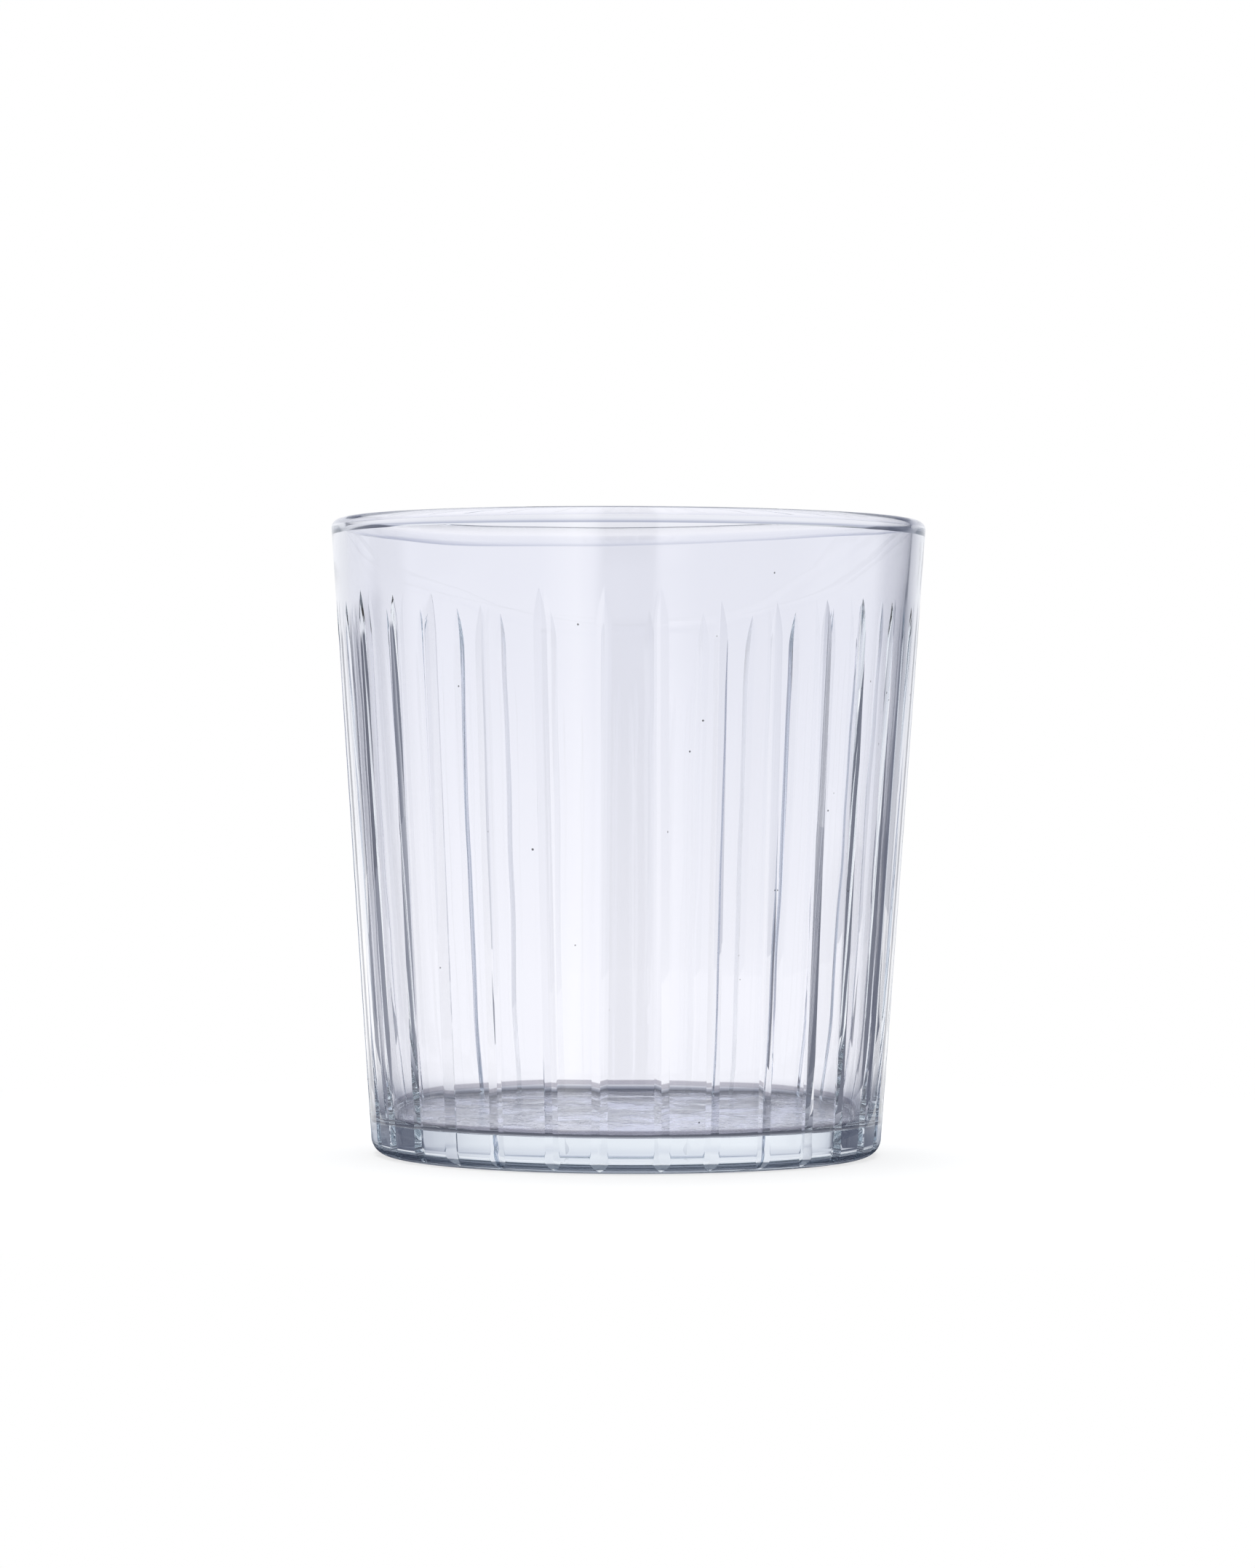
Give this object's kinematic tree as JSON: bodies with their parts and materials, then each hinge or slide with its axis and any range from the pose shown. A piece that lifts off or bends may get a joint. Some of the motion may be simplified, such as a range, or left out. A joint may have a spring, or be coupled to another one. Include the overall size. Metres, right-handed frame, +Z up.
{
  "type": "juice glass",
  "caption": "Tapered tumbler of clear glass for juice or water, with a rounded lip, a thick base with a hollow underside and fine upright V-cut flutes round the outside.",
  "frame": {"origin": "centre of the bearing ring under the base, on the table plane", "axes": "+Z up along the axis of the glass; the front, as pictured, faces -Y"},
  "size_m": [0.0848, 0.0848, 0.0905],
  "materials": {
    "glass": "clear, fire-polished, with ground and polished cuts"
  },
  "bodies": {
    "root": {"tumbler": "glass"}
  },
  "joints": []
}
